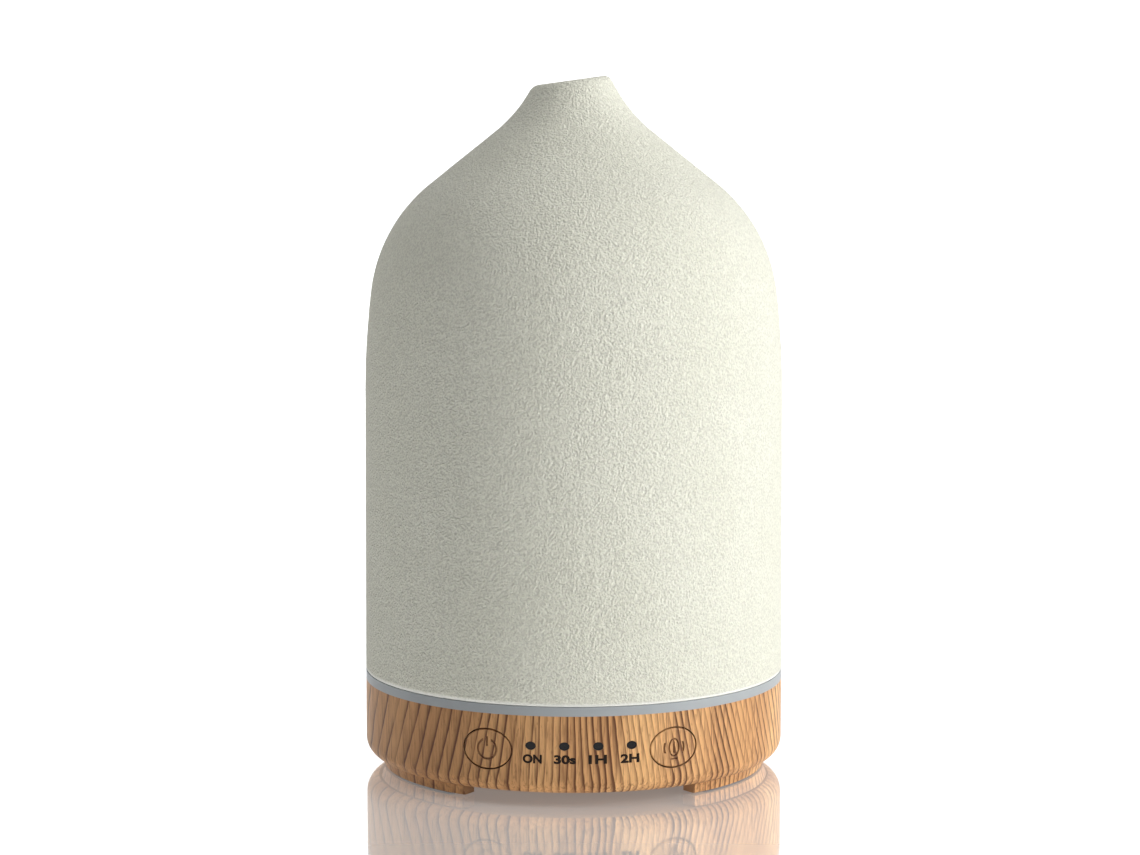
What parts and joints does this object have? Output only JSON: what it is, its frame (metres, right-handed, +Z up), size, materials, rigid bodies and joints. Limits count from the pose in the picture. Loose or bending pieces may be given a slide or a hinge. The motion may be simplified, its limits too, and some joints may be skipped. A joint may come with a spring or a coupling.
{
  "type": "essential oil diffuser",
  "caption": "Ultrasonic oil diffuser: stoneware cover with a slanted spout over a water tank, on a wood-grain base with push buttons, timer lamps and a DC inlet.",
  "frame": {"origin": "on the table, under the middle of the base", "axes": "+Z up along the body's axis, the controls face -Y, the DC inlet faces +Y, the spout's rim is high on +X"},
  "size_m": [0.1, 0.1, 0.1645],
  "materials": {
    "stoneware": "matt, fine sand-like relief",
    "ring_plastic": "frosted translucent",
    "wood_print": "printed wood grain, satin",
    "pad_rubber": "matt",
    "tank_plastic": "semi-gloss translucent white",
    "lid_plastic": "semi-gloss translucent",
    "steel": "plain zinc-plated",
    "window_plastic": "dark smoked lens",
    "black_plastic": "moulded",
    "white_plastic": "moulded",
    "circuit_board": "solder mask",
    "copper": "enamelled wire",
    "tin": "tinned",
    "alu": "anodised",
    "ferrite": "sintered",
    "piezo": "silvered disc",
    "silicone": "soft, matt",
    "filter_foam": "open mesh",
    "lamp": "clear epoxy",
    "yellow_film": "dipped",
    "lead_red": "soft insulation"
  },
  "bodies": {
    "root": {"light_ring": "ring_plastic", "base_housing": "wood_print", "bottom_cover": "wood_print", "foot_pads": "pad_rubber", "case_screws": "steel", "power_switch": "black_plastic", "light_switch": "black_plastic", "indicator_windows": "window_plastic", "indicator_leds": "lamp", "led_holder": "black_plastic", "key_board": "circuit_board", "key_board_screws": "steel", "water_tank": "tank_plastic", "deck_seal": "silicone", "piezo_gasket": "silicone", "piezo_disc": "piezo", "piezo_retainer": "white_plastic", "piezo_screws": "steel", "air_filter": "filter_foam", "fan_frame": "black_plastic", "fan_bearing": "copper", "fan_stator": "copper", "fan_duct": "white_plastic", "fan_screws": "steel", "main_board": "circuit_board", "board_screws": "steel", "dc_jack": "black_plastic", "dc_jack_pin": "tin", "jack_terminals": "tin", "control_chip": "black_plastic", "power_transistor": "black_plastic", "film_capacitor": "yellow_film", "chip_resistors": "black_plastic", "board_sockets": "white_plastic", "heat_sink": "alu", "capacitors": "alu", "drive_coil": "ferrite", "coil_winding": "copper", "ring_led_board": "circuit_board", "ring_leds": "lamp", "piezo_lead": "lead_red", "key_lead": "lead_red", "fan_lead": "lead_red", "ring_lead": "lead_red"},
    "cover": {"ceramic_cover": "stoneware"},
    "inner_lid": {"inner_lid": "lid_plastic"},
    "power_key": {"power_button": "wood_print", "power_switch_plunger": "white_plastic"},
    "light_key": {"light_button": "wood_print", "light_switch_plunger": "white_plastic"},
    "fan_rotor": {"fan_rotor": "black_plastic", "fan_magnet": "ferrite", "fan_shaft": "steel"}
  },
  "joints": [
    {"name": "cover_lift", "type": "slide", "parent": "root", "child": "cover", "axis": [0, 0, 1], "range_m": [0, 0.15]},
    {"name": "inner_lid_lift", "type": "slide", "parent": "root", "child": "inner_lid", "axis": [0, 0, 1], "range_m": [0, 0.0525]},
    {"name": "power_button_press", "type": "slide", "parent": "root", "child": "power_key", "axis": [0.4242, 0.9056, 0], "range_m": [0, 0.0005], "stiffness_N_per_m": 3000},
    {"name": "light_button_press", "type": "slide", "parent": "root", "child": "light_key", "axis": [-0.4242, 0.9056, 0], "range_m": [0, 0.0005], "stiffness_N_per_m": 3000},
    {"name": "fan_spin", "type": "hinge", "parent": "root", "child": "fan_rotor", "pos_m": [-0.022, 0.006, 0.009], "axis": [0, 0, 1], "continuous": true}
  ],
  "couplings": [
    {"joint": "inner_lid_lift", "follows": "cover_lift", "ratio": 0.35}
  ]
}
